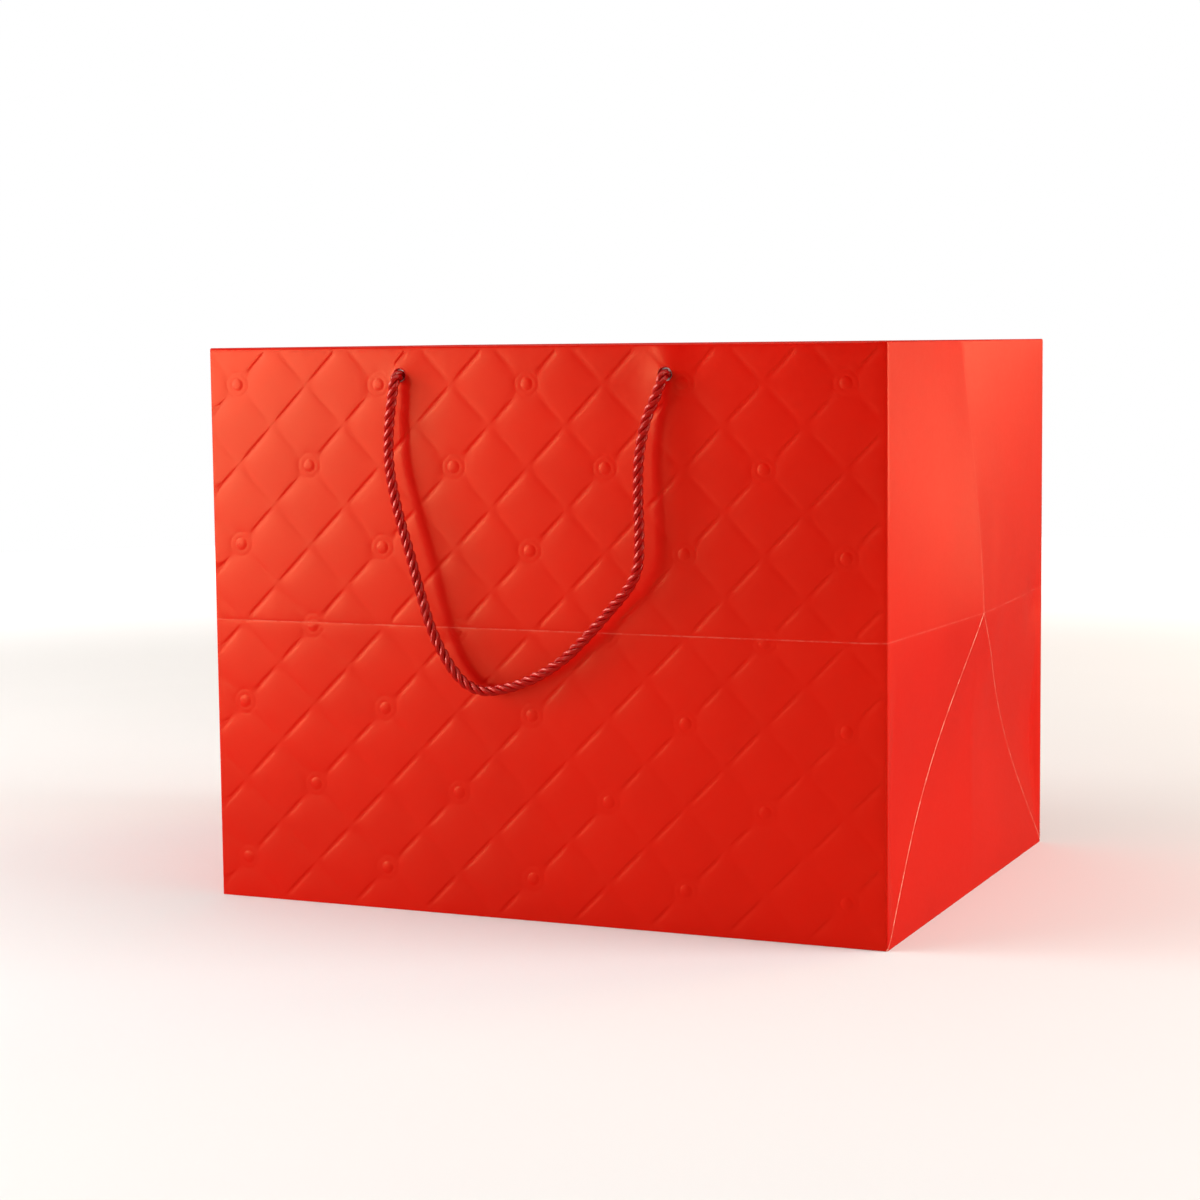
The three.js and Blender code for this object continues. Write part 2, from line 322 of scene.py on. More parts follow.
def grey_board():
    """Recycled board: grey, with darker and lighter flecks and a soft tooth."""
    n = Nodes("grey_board")
    flecks = n.noise(1400.0, detail=3.0, roughness=0.8)
    cloud = n.noise(22.0, detail=4.0)
    base = n.mix(n.ramp(cloud, 0.35, 0.65), (0.52, 0.51, 0.49), (0.56, 0.55, 0.53))
    colour = n.mix(n.ramp(flecks, 0.60, 0.72), base, (0.30, 0.29, 0.27))
    return n.finish(colour, n.span(flecks, 0.3, 0.7, 0.82, 0.95), n.bump(flecks, 0.05 * MM))


# filaments side by side round a strand, and the length in which one winds once round it
FILAMENTS = 14.0
FILAMENT_LAY = 20 * MM


def satin_cord():
    """Crimson rayon strands: fine filaments that lie along each strand and catch the light. Their colour
    is darker between the filaments and lighter on them, a painted shade and highlight, under a random
    mottle.
    """
    n = Nodes("satin_cord")
    uv = n.add("ShaderNodeUVMap", uv_map="Strand")
    split = n.add("ShaderNodeSeparateXYZ")
    n.link(uv.outputs["UV"], split.inputs["Vector"])
    run, turn = split.outputs["X"], split.outputs["Y"]
    across = n.math("MULTIPLY", turn, FILAMENTS)
    wound = n.math("ADD", across, n.math("MULTIPLY", run, FILAMENTS / FILAMENT_LAY))
    ridges = n.math("SINE", n.math("MULTIPLY", wound, 2 * math.pi))
    mess = n.noise(2200.0, detail=2.0)
    height = n.math("MULTIPLY_ADD", ridges, 0.35, mess)
    # darker in the hollows between the filaments and lighter on their crests: painted shade and
    # highlight, mixed with a random mottle
    colour = n.mix(n.ramp(height, 0.1, 1.0), (0.30, 0.0003, 0.0004), (0.62, 0.003, 0.003))
    normal = n.bump(height, 0.05 * MM)
    return n.finish(
        colour,
        n.span(mess, 0.3, 0.7, 0.17, 0.23),
        normal,
        IOR=1.6,
        Specular_IOR_Level=1.0,
        Specular_Tint=(1.0, 0.40, 0.32, 1.0),
    )


def eyelet_metal():
    """A steel ring enamelled red, with a fine grain and dulled patches."""
    n = Nodes("eyelet_metal")
    grain = n.noise(5000.0, detail=2.0)
    dull = n.noise(700.0, detail=3.0)
    roughness = n.span(dull, 0.3, 0.7, 0.28, 0.34)
    colour = n.mix(n.ramp(dull, 0.3, 0.7), (0.50, 0.004, 0.003), (0.64, 0.010, 0.007))
    return n.finish(
        colour,
        roughness,
        n.bump(grain, 0.01 * MM),
        Specular_IOR_Level=0.5,
        Specular_Tint=(1.0, 0.40, 0.32, 1.0),
    )


def flap_paper():
    """The bottom's folded paper: red film underneath, bare and white where it faces up."""
    n = Nodes("flap_paper")
    split = n.add("ShaderNodeSeparateXYZ")
    n.link(n.add("ShaderNodeNewGeometry").outputs["True Normal"], split.inputs["Vector"])
    up = n.ramp(split.outputs["Z"], -0.1, 0.1)
    fibre = n.noise(900.0, detail=4.0, roughness=0.7)
    cloud = n.noise(14.0, detail=3.0)
    white = n.mix(n.ramp(cloud, 0.3, 0.7), WHITE_LOW, WHITE_HIGH)
    red = n.mix(n.ramp(cloud, 0.3, 0.7), RED_LOW, RED_HIGH)
    roughness = n.span(up, 0.0, 1.0, 0.40, 0.88)
    return n.finish(n.mix(up, red, white), roughness, n.bump(fibre, 0.03 * MM))


PAPER_RED = laminated_paper()
PAPER_FLAP = flap_paper()
PAPER_WHITE = bare_paper("paper_inside", WHITE_LOW, WHITE_HIGH)
PAPER_EDGE = bare_paper("paper_edge", (0.76, 0.60, 0.56), (0.84, 0.76, 0.73))
BOARD_GREY = grey_board()
CORD_RED = satin_cord()
EYELET_RED = eyelet_metal()

# ---------------------------------------------------------------- mesh helpers


def new_mesh(name, points, faces, materials, face_material=None, smooth_below=40.0):
    """A mesh object, smooth except over edges sharper than smooth_below degrees."""
    mesh = bpy.data.meshes.new(name)
    mesh.from_pydata([tuple(p) for p in points], [], [tuple(f) for f in faces])
    for material in materials:
        mesh.materials.append(material)
    if face_material is not None:
        mesh.polygons.foreach_set("material_index", np.asarray(face_material, np.int32))
    mesh.polygons.foreach_set("use_smooth", np.ones(len(mesh.polygons), bool))
    made = bmesh.new()
    made.from_mesh(mesh)
    limit = math.radians(smooth_below)
    for edge in made.edges:
        edge.smooth = len(edge.link_faces) == 2 and edge.calc_face_angle(math.pi) < limit
    made.to_mesh(mesh)
    made.free()
    mesh.update()
    obj = bpy.data.objects.new(name, mesh)
    bpy.context.scene.collection.objects.link(obj)
    return obj


def set_uv(obj, name, per_point):
    """A UV map whose corners take their vertex's pair of numbers."""
    mesh = obj.data
    corner_points = np.zeros(len(mesh.loops), np.int32)
    mesh.loops.foreach_get("vertex_index", corner_points)
    layer = mesh.uv_layers.new(name=name)
    layer.data.foreach_set("uv", np.asarray(per_point, np.float32)[corner_points].ravel())


def turned(obj, degrees):
    """obj's mesh turned about the bag's upright middle line."""
    obj.data.transform(Matrix.Rotation(math.radians(degrees), 4, "Z"))
    return obj


def smoothstep(low, high, x):
    """0 at low and 1 at high, with a soft start and end. low may be the larger."""
    t = np.clip((x - low) / (high - low), 0, 1)
    return t * t * (3 - 2 * t)


# ---------------------------------------------------------------- the embossed quilting

QUILT_UNIT = 19.7 * MM
GROOVE_GAP = QUILT_UNIT * math.sqrt(2)
QUILT_X = -2 * MM
QUILT_Z = HEIGHT - 18.2 * MM
GROOVE_DEPTH = 0.16 * MM
# the grooves that fall to the right are pressed less deep than those that rise
FALLING_SHARE = 0.4
GROOVE_FLOOR = 0.45 * MM
GROOVE_STEEP = 1.0 * MM
GROOVE_GENTLE = 2.5 * MM
# a groove is left out up to the first distance from a crossing, and whole beyond the second
CROSSING_CLEAR = 1.2 * MM
CROSSING_WHOLE = 5.5 * MM
PUFF = 0.13 * MM
BUTTON_R = 2.9 * MM
BUTTON_RISE = 0.20 * MM
RING_R = 6.0 * MM
RING_DEPTH = 0.06 * MM
FOOT_DEPTH = 0.04 * MM
# within this radius of a button its own rings of points replace the lattice
BUTTON_PATCH_R = 8.2 * MM
# the radii of those rings, in millimetres
BUTTON_RINGS = (1.1, 2.0, 2.7, 3.15, 3.6, 4.3, 5.1, 5.7, 6.3, 6.9, 7.6)


def to_quilt(x, z):
    """Distances along the two directions of the grooves' normals, from one button."""
    dx, dz = x - QUILT_X, z - QUILT_Z
    return (dx + dz) / math.sqrt(2), (dx - dz) / math.sqrt(2)


def from_groove(a):
    """Signed distance from the nearest groove of one family."""
    return (a + GROOVE_GAP / 2) % GROOVE_GAP - GROOVE_GAP / 2


def groove(offset, steep, gentle):
    """A groove's section: 1 on its floor, and 0 beyond steep on one side and gentle on the other."""
    edge = np.where(offset < 0, steep, gentle)
    return 1 - smoothstep(GROOVE_FLOOR, edge, np.abs(offset))


def nearest_button(x, z):
    """Offsets from the nearest button. They lie two units apart each way, on every other place."""
    pitch = 4 * QUILT_UNIT
    best = None
    for shift in (0.0, pitch / 2):
        dx = (x - QUILT_X - shift + pitch / 2) % pitch - pitch / 2
        dz = (z - QUILT_Z - shift + pitch / 2) % pitch - pitch / 2
        if best is None:
            best = (dx, dz)
            continue
        nearer = np.hypot(dx, dz) < np.hypot(*best)
        best = (np.where(nearer, dx, best[0]), np.where(nearer, dz, best[1]))
    return best


def quilting(x, z):
    """How far the embossing moves the sheet outwards at a place on the front."""
    a, b = to_quilt(x, z)
    off_a, off_b = from_groove(a), from_groove(b)
    da, db = np.abs(off_a), np.abs(off_b)
    clear_a = smoothstep(CROSSING_CLEAR, CROSSING_WHOLE, db)
    clear_b = smoothstep(CROSSING_CLEAR, CROSSING_WHOLE, da)
    wall_a = groove(off_a, GROOVE_GENTLE, GROOVE_GENTLE) * clear_a
    wall_b = groove(off_b, GROOVE_STEEP, GROOVE_GENTLE) * clear_b
    crown_a = np.sin(math.pi * np.clip(da / GROOVE_GAP, 0, 0.5))
    crown_b = np.sin(math.pi * np.clip(db / GROOVE_GAP, 0, 0.5))
    pillow = crown_a * crown_b
    relief = PUFF * pillow - GROOVE_DEPTH * np.maximum(FALLING_SHARE * wall_a, wall_b)

    dx, dz = nearest_button(x, z)
    r = np.hypot(dx, dz)
    octagon = np.maximum(np.maximum(np.abs(dx), np.abs(dz)), 0.74 * (np.abs(dx) + np.abs(dz)))
    outside = smoothstep(RING_R, RING_R + 2.4 * MM, r)
    ring = -RING_DEPTH * np.exp(-(((octagon - RING_R) / (0.75 * MM)) ** 2))
    dome = BUTTON_RISE * np.sqrt(np.clip(1 - (r / BUTTON_R) ** 2, 0, 1))
    foot = -FOOT_DEPTH * np.exp(-(((r - BUTTON_R) / (0.7 * MM)) ** 2))
    return relief * outside + ring + dome + foot


# ---------------------------------------------------------------- the sheet's large shape


# How far a front wall bows in between its edges, folds out on a line down from the right hole,
# is drawn out at each hole, and is pressed in at the level crease
BOW = 1.4 * MM
ROPE_FOLD = 0.9 * MM
ROPE_PULL = 0.5 * MM
CREASE_DEPTH = 0.10 * MM
# How far a gusset sinks between its lower folds, and its ridge and dent near the apex
GUSSET_SLACK = 5.0 * MM
RIDGE = 0.5 * MM
DENT = 1.8 * MM


def front_bend(x, z):
    """How far a front wall stands out: its slack bow, a fold, the ropes' pull and the level crease."""
    slack = smoothstep(0.0, 0.06, z) * smoothstep(HEIGHT, HEIGHT - 0.09, z)
    bow = -BOW * slack * np.cos(math.pi * x / WIDTH)
    fold = np.exp(-(((x - HOLE_X) / (9 * MM)) ** 2))
    fold = fold * smoothstep(HEIGHT - 0.14, HEIGHT - 0.03, z)
    pull = np.zeros_like(x)
    for hole in (-HOLE_X, HOLE_X):
        pull += np.exp(-((x - hole) ** 2 + (z - HOLE_Z) ** 2) / (9 * MM) ** 2)
    crease = np.exp(-(((z - APEX) / (0.5 * MM)) ** 2))
    return bow + ROPE_FOLD * fold + ROPE_PULL * pull - CREASE_DEPTH * crease


def gusset_bend(y, z):
    """A gusset's folds: in at the top of its centre crease, out at the apex, and slack between."""
    share = 1 - np.abs(y) / (DEPTH / 2)
    rise = np.clip((z - APEX) / (HEIGHT - APEX), 0, 1)
    upper = BULGE - (PINCH + BULGE) * rise**1.4
    lower = np.minimum(BULGE * z / APEX, BULGE * share)
    along = np.clip(z / APEX, 0, 1)
    off_diagonal = (np.abs(y) + z - APEX) / math.sqrt(2)
    slack = -GUSSET_SLACK * np.sin(math.pi * along) ** 1.3 * np.exp(-((off_diagonal / 0.075) ** 2))
    ridge_y = 0.030 + 0.35 * (z - APEX)
    ridge = RIDGE * np.exp(-(((y - ridge_y) / 0.016) ** 2)) * np.exp(-(((z - APEX + 0.01) / 0.05) ** 2))
    dent = -DENT * np.exp(-(((y - 0.120) / 0.018) ** 2 + ((z - APEX + 0.006) / 0.014) ** 2))
    edge = smoothstep(0.0, 0.012, share * DEPTH / 2)
    return np.where(z > APEX, upper * share, lower + slack * edge) + (ridge + dent) * edge


# ---------------------------------------------------------------- the sheet, laid flat and folded

CORNER_R = 0.8 * MM
EDGE_INSET = 0.1 * MM
FRONT_FOLD = FRONT_STACK / 2
GUSSET_FOLD = GUSSET_STACK / 2
HEM_TAPER = 9 * MM
WALL_TOP = HEIGHT - PAPER / 2 - FRONT_FOLD
FOLD_RUN = 3 * MM
FLAP = 18 * MM
APEX_ROWS = 40
UPPER_ROWS = 38
STEP = 3.5 * MM

ARC = CORNER_R * math.pi / 2
FRONT_END = WIDTH - PAPER / 2 - CORNER_R
GUSSET_START = FRONT_END + ARC
GUSSET_END = GUSSET_START + DEPTH - PAPER / 2 - CORNER_R - PAPER - GAP - CORNER_R
FLAP_START = GUSSET_END + ARC
# where the gusset's middle lies along the sheet
GUSSET_MIDDLE = GUSSET_START + DEPTH / 2 - PAPER / 2 - CORNER_R


def plan(s):
    """The sheet's middle line seen from above, and its outward direction: front, corner,
    gusset, corner, and the flap that is glued inside the back."""
    front_y = -DEPTH / 2 + PAPER / 2
    gusset_x = WIDTH / 2 - PAPER / 2
    end_y = front_y + CORNER_R + (GUSSET_END - GUSSET_START)
    turn_1 = np.clip((s - FRONT_END) / CORNER_R, 0, math.pi / 2)
    turn_2 = np.clip((s - GUSSET_END) / CORNER_R, 0, math.pi / 2)
    x = np.minimum(s, FRONT_END) - WIDTH / 2 + CORNER_R * np.sin(turn_1)
    y = front_y + CORNER_R * (1 - np.cos(turn_1))
    y = y + np.clip(s - GUSSET_START, 0, GUSSET_END - GUSSET_START)
    flap_x = gusset_x - CORNER_R * (1 - np.cos(turn_2)) - np.maximum(s - FLAP_START, 0)
    x = np.where(s > GUSSET_END, flap_x, x)
    y = np.where(s > GUSSET_END, end_y + CORNER_R * np.sin(turn_2), y)
    angle = turn_1 + turn_2 - math.pi / 2
    return x, y, np.cos(angle), np.sin(angle)


def fold_radius(s):
    """Half the distance from the wall to its hem, which narrows from the front to the gusset."""
    share = smoothstep(FRONT_END - HEM_TAPER, FRONT_END - 1 * MM, s)
    return FRONT_FOLD + (GUSSET_FOLD - FRONT_FOLD) * share


def folded(s, q, side):
    """Points of the sheet's outer (side 1) or inner (side -1) face. q runs up the wall,
    over the fold at the top, and down the hem inside."""
    x, y, nx, ny = plan(s)
    radius = fold_radius(s)
    wall_top = HEIGHT - PAPER / 2 - radius
    angle = np.clip((q - WALL_TOP) / FOLD_RUN, 0, 1) * math.pi
    hem = np.maximum(q - WALL_TOP - FOLD_RUN, 0)
    z = np.minimum(q, WALL_TOP) / WALL_TOP * wall_top + radius * np.sin(angle) - hem
    inwards = radius * (1 - np.cos(angle))

    front = s <= FRONT_END
    gusset = (s >= GUSSET_START) & (s <= GUSSET_END)
    out = np.zeros_like(s)
    out[front] = front_bend(x[front], z[front])
    out[gusset] = gusset_bend(s[gusset] - GUSSET_MIDDLE, z[gusset])
    fade = smoothstep(0.0, 4 * MM, s) * smoothstep(FRONT_END, FRONT_END - 3 * MM, s)
    out[front] *= fade[front]
    on_wall = front & (q <= WALL_TOP)
    relief = quilting(x[on_wall], z[on_wall])
    # the relief dies away towards all four edges of the wall
    wall_s, wall_q = s[on_wall], q[on_wall]
    relief *= smoothstep(0.3 * MM, 2.5 * MM, wall_s) * smoothstep(FRONT_END, FRONT_END - 2 * MM, wall_s)
    relief *= smoothstep(WALL_TOP, WALL_TOP - 2 * MM, wall_q) * smoothstep(0.0, 2 * MM, wall_q)
    out[on_wall] += relief

    # the face's own direction turns over with the fold
    tilt = np.cos(angle)
    half = side * PAPER / 2
    place = out - inwards + half * tilt
    return np.stack([x + nx * place, y + ny * place, z + half * np.sin(angle)], axis=1)


def around(centre, radius, count):
    """count places on a circle."""
    angles = np.arange(count) * 2 * math.pi / count
    return centre[0] + radius * np.cos(angles), centre[1] + radius * np.sin(angles)


def panel_points():
    """Where the front wall needs points, as (s, q): the border, the holes, the level crease,
    the buttons, and a lattice that is close along the grooves."""
    rows = np.array(wall_rows())
    columns = np.array(front_columns())
    border = [(s, rows[0]) for s in columns] + [(s, rows[-1]) for s in columns]
    border += [(columns[0], q) for q in rows[1:-1]] + [(columns[-1], q) for q in rows[1:-1]]

    holes = []
    for hole in (-HOLE_X, HOLE_X):
        s, q = around((hole + WIDTH / 2, HOLE_Z), HOLE_R, HOLE_SIDES)
        holes.append(list(zip(s, q)))
    halo = []
    for hole in (-HOLE_X, HOLE_X):
        s, q = around((hole + WIDTH / 2, HOLE_Z), HOLE_R + 1.2 * MM, HOLE_SIDES)
        halo += list(zip(s, q))

    inner_columns = columns[2:-2]
    lifts = (-1.1 * MM, -0.5 * MM, 0, 0.5 * MM, 1.1 * MM)
    crease = [(s, APEX + lift) for s in inner_columns for lift in lifts]

    buttons = []
    pitch = 2 * QUILT_UNIT
    for i in range(-6, 7):
        for j in range(-8, 2):
            if (i + j) % 2:
                continue
            centre = (QUILT_X + i * pitch + WIDTH / 2, QUILT_Z + j * pitch)
            buttons.append([(centre[0], centre[1])])
            for k, radius in enumerate(BUTTON_RINGS):
                s, q = around(centre, radius * MM, 12 if k == 0 else 26)
                buttons.append(list(zip(s, q)))
    buttons = np.array([p for ring in buttons for p in ring])

    offsets = np.array([0, 0.45, 0.75, 1.1, 1.7, 2.6, 7.5]) * MM
    one = np.concatenate([-offsets[:0:-1], offsets, [GROOVE_GAP / 2]])
    lines = (np.arange(-16, 17)[:, None] * GROOVE_GAP + one[None, :]).ravel()
    a, b = np.meshgrid(lines, lines)
    x = QUILT_X + (a + b).ravel() / math.sqrt(2)
    z = QUILT_Z + (a - b).ravel() / math.sqrt(2)
    dx, dz = nearest_button(x, z)
    lattice = np.stack([x + WIDTH / 2, z], axis=1)[np.hypot(dx, dz) > BUTTON_PATCH_R]

    loose = np.concatenate([lattice, buttons])
    s, q = loose[:, 0], loose[:, 1]
    room = 1.3 * MM
    inside = (s > columns[0] + room) & (s < columns[-1] - room)
    inside &= (q > rows[0] + room) & (q < rows[-1] - room)
    inside &= np.abs(q - APEX) > 1.5 * MM
    for hole in (-HOLE_X, HOLE_X):
        inside &= np.hypot(s - hole - WIDTH / 2, q - HOLE_Z) > HOLE_R + 1.7 * MM
    return border, holes, halo + crease + [tuple(p) for p in loose[inside]]


def triangulated(border, holes, loose, middle_s):
    """Delaunay triangles over the points, left open inside the rope holes. middle_s is where
    the wall's middle lies along the sheet."""
    points = [Vector(p) for p in border]
    edges = []
    for hole in holes:
        first = len(points)
        points += [Vector(p) for p in hole]
        edges += [(first + i, first + (i + 1) % len(hole)) for i in range(len(hole))]
    points += [Vector(p) for p in loose]
    places, _, faces, *_ = geometry.delaunay_2d_cdt(points, edges, [], 0, 1e-7)
    kept = []
    for face in faces:
        middle = sum((places[i] for i in face), Vector((0, 0))) / 3
        x, z = middle.x - middle_s, middle.y - HOLE_Z
        if all(math.hypot(x - hole, z) > HOLE_R for hole in (-HOLE_X, HOLE_X)):
            kept.append(tuple(face))
    return places, kept


def open_edges(triangles):
    """Edges that belong to one triangle only, in the order in which they are met."""
    edges = {}
    for a, b, c in triangles:
        for edge in ((a, b), (b, c), (c, a)):
            edges[edge] = True
    return [(a, b) for a, b in edges if (b, a) not in edges]


def front_columns():
    count = round((FRONT_END - EDGE_INSET) / STEP)
    return [EDGE_INSET + (FRONT_END - EDGE_INSET) * i / count for i in range(count + 1)]


def wall_rows():
    """Heights of the rows that the corner and the gusset share. The apex is one of them."""
    below = [APEX * i / APEX_ROWS for i in range(APEX_ROWS + 1)]
    above = [APEX + (WALL_TOP - APEX) * i / UPPER_ROWS for i in range(1, UPPER_ROWS + 1)]
    return below + above


def corner_columns(start, count=5):
    return [start + ARC * i / count for i in range(count + 1)]


def gusset_columns():
    """Columns at the same spacing as the rows, so that the diagonals fall on their corners."""
    half = [APEX * i / APEX_ROWS for i in range(APEX_ROWS)]
    columns = sorted({-h for h in half} | set(half))
    low, high = GUSSET_START - GUSSET_MIDDLE, GUSSET_END - GUSSET_MIDDLE
    inner = [c for c in columns if low + 1 * MM < c < high - 1 * MM]
    return [GUSSET_START] + [GUSSET_MIDDLE + c for c in inner] + [GUSSET_END]


def fold_rows():
    over = [WALL_TOP + FOLD_RUN * i / 8 for i in range(9)]
    hem = [over[-1] + (HEM - FRONT_FOLD) * i / 7 for i in range(1, 8)]
    return over + hem


class FlatSheet:
    """Points and triangles in (s, q), where equal points from different stretches are one."""

    def __init__(self):
        self.index = {}
        self.points = []
        self.triangles = []

    def point(self, s, q):
        key = (round(s * 1e6), round(q * 1e6))
        if key not in self.index:
            self.index[key] = len(self.points)
            self.points.append((s, q))
        return self.index[key]

    def grid(self, columns, rows, rising=lambda s: True):
        """Cells between columns and rows. rising says which way each cell's diagonal goes."""
        for s0, s1 in zip(columns, columns[1:]):
            for q0, q1 in zip(rows, rows[1:]):
                a, b = self.point(s0, q0), self.point(s1, q0)
                c, d = self.point(s1, q1), self.point(s0, q1)
                if rising((s0 + s1) / 2):
                    self.triangles += [(a, b, c), (a, c, d)]
                else:
                    self.triangles += [(a, b, d), (b, c, d)]

    def panel(self):
        """The front wall: Delaunay triangles over its own points, with its two holes open."""
        places, faces = triangulated(*panel_points(), WIDTH / 2)
        for face in faces:
            self.triangles.append(tuple(self.point(*places[i]) for i in face))


def body_sheet(name):
    """One of the two sheets: front, right gusset, turned-in top edge and glue flap."""
    flat = FlatSheet()
    flat.panel()
    rows = wall_rows()
    gusset = gusset_columns()
    flap = corner_columns(GUSSET_END) + [FLAP_START + FLAP * i / 6 for i in range(1, 7)]
    flat.grid(corner_columns(FRONT_END), rows)
    flat.grid(gusset, rows, rising=lambda s: s < GUSSET_MIDDLE)
    flat.grid(flap, [q for q in rows if 2 * MM < q < HEIGHT - HEM])
    # beside the turned-in edge only the corner goes on, behind the other sheet's first edge
    flat.grid(corner_columns(GUSSET_END), [q for q in rows if q > HEIGHT - HEM - STEP])
    top = front_columns() + corner_columns(FRONT_END)[1:] + gusset[1:]
    flat.grid(top, fold_rows())

    s, q = np.array(flat.points).T
    outer, inner = folded(s, q, 1), folded(s, q, -1)
    count = len(s)
    triangles = np.array(flat.triangles)
    rim = open_edges(flat.triangles)
    faces = [*triangles.tolist(), *(triangles[:, ::-1] + count).tolist()]
    faces += [(b, a, a + count, b + count) for a, b in rim]
    kinds = [0] * len(triangles) + [1] * len(triangles) + [2] * len(rim)
    materials = [PAPER_RED, PAPER_WHITE, PAPER_EDGE]
    sheet = new_mesh(name, np.concatenate([outer, inner]), faces, materials, kinds)
    # the gusset's place in the UV map is measured from its own middle
    along = np.where(s > FRONT_END, s - GUSSET_MIDDLE + WIDTH + DEPTH / 2, s)
    set_uv(sheet, "Sheet", np.tile(np.stack([along, q], axis=1), (2, 1)))
    return sheet


# each sheet's wall, its gusset, and the flap that is cut with it and named after the wall it joins
for wall, side, joined, degrees in (("front", "right", "back", 0), ("back", "left", "front", 180)):
    body = turned(body_sheet(f"{wall}_and_{side}_sheet"), degrees)
    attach(body, "bag")
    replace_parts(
        body,
        f"{wall}_panel",
        f"{wall}_hem",
        f"{side}_gusset_front",
        f"{side}_gusset_back",
        f"{side}_hem",
        f"{joined}_glue_flap",
    )

# ---------------------------------------------------------------- rope

STRANDS = 3
STRAND_R = 1.16 * MM
# from the rope's middle line to a strand's
STRAND_OFFSET = 1.41 * MM
# the length in which a strand winds once round the rope
LAY = 15 * MM
STRAND_SIDES = 12
ROPE_STEP = 0.95 * MM


def catmull_rom(points, samples=24):
    """The centripetal Catmull-Rom curve through points, as closely spaced points."""
    p = [np.array(v, float) for v in points]
    p = [2 * p[0] - p[1], *p, 2 * p[-1] - p[-2]]
    curve = []
    for p0, p1, p2, p3 in zip(p, p[1:], p[2:], p[3:]):
        pairs = ((p0, p1), (p1, p2), (p2, p3))
        d0, d1, d2 = (max(np.linalg.norm(b - a), 1e-9) ** 0.5 for a, b in pairs)
        start = (p1 - p0) / d0 - (p2 - p0) / (d0 + d1) + (p2 - p1) / d1
        end = (p2 - p1) / d1 - (p3 - p1) / (d1 + d2) + (p3 - p2) / d2
        start, end = start * d1, end * d1
        for i in range(samples):
            t = i / samples
            a, b = 2 * t**3 - 3 * t**2 + 1, t**3 - 2 * t**2 + t
            c, d = -2 * t**3 + 3 * t**2, t**3 - t**2
            curve.append(a * p1 + b * start + c * p2 + d * end)
    curve.append(p[-2])
    return np.array(curve)


def even_steps(curve, step):
    """The same curve with points at equal distances."""
    lengths = np.concatenate([[0], np.cumsum(np.linalg.norm(np.diff(curve, axis=0), axis=1))])
    count = max(int(lengths[-1] / step), 4)
    places = np.linspace(0, lengths[-1], count + 1)
    return np.stack([np.interp(places, lengths, curve[:, k]) for k in range(3)], axis=1)


def carried_frames(path):
    """Tangents and two normals along a path, carried along it without twisting."""
    tangents = np.gradient(path, axis=0)
    tangents /= np.linalg.norm(tangents, axis=1)[:, None]
    normal = np.cross(tangents[0], (1.0, 0.0, 0.0))
    if np.linalg.norm(normal) < 0.1:
        normal = np.cross(tangents[0], (0.0, 0.0, 1.0))
    normals = []
    for tangent in tangents:
        normal = normal - tangent * (normal @ tangent)
        normal = normal / np.linalg.norm(normal)
        normals.append(normal)
    normals = np.array(normals)
    return tangents, normals, np.cross(tangents, normals)


def twisted_rope(name, curve, loosen_end=0.0):
    """Three strands wound round a curve, each a closed round tube. loosen_end opens the
    strands over the last stretch of that length, as at a cut end."""
    path = even_steps(curve, ROPE_STEP)
    _, u, v = carried_frames(path)
    run = np.arange(len(path)) * np.linalg.norm(path[1] - path[0])
    points, faces, uv = [], [], []
    for k in range(STRANDS):
        phase = 2 * math.pi * (run / LAY + k / STRANDS)
        spread = STRAND_OFFSET * np.ones_like(run)
        if loosen_end:
            left = np.clip((run - (run[-1] - loosen_end)) / loosen_end, 0, 1)
            spread = spread * (1 + 0.9 * left**2)
        centre = path + spread[:, None] * (np.cos(phase)[:, None] * u + np.sin(phase)[:, None] * v)
        _, m, n = carried_frames(centre)
        first = len(points)
        for i, middle in enumerate(centre):
            shrink = 1.0 if 0 < i < len(centre) - 1 else 0.8
            for j in range(STRAND_SIDES):
                angle = 2 * math.pi * j / STRAND_SIDES
                outwards = math.cos(angle) * m[i] + math.sin(angle) * n[i]
                points.append(middle + STRAND_R * shrink * outwards)
                uv.append((run[i], j / STRAND_SIDES))
        for i in range(len(centre) - 1):
            ring = first + i * STRAND_SIDES
            for j in range(STRAND_SIDES):
                j2 = (j + 1) % STRAND_SIDES
                beyond = ring + STRAND_SIDES
                faces.append((ring + j, ring + j2, beyond + j2, beyond + j))
        last = first + (len(centre) - 1) * STRAND_SIDES
        faces.append(tuple(first + j for j in reversed(range(STRAND_SIDES))))
        faces.append(tuple(last + j for j in range(STRAND_SIDES)))
    rope = new_mesh(name, points, faces, [CORD_RED], smooth_below=60.0)
    set_uv(rope, "Strand", uv)
    return rope, path


def handle_curve():
    """The handle's middle line on the front: out of one hole, round its hanging route, and
    into the other."""
    face = -DEPTH / 2
    bend = STAND_OFF - 1 * MM
    elbow = [(0.0035, 0.0), (0.001, 0.0)]
    elbow += [(-0.001 - bend * math.sin(t), bend * (1 - math.cos(t))) for t in (0.0, 0.55, 1.1)]
    left = [(-HOLE_X, face + inwards, HOLE_Z - drop) for inwards, drop in elbow]
    hang = [(x, face - out, HOLE_Z - drop) for x, out, drop in HANDLE_ROUTE[1:-1]]
    right = [(HOLE_X, y, z) for _, y, z in reversed(left)]
    return catmull_rom(left + hang + right)


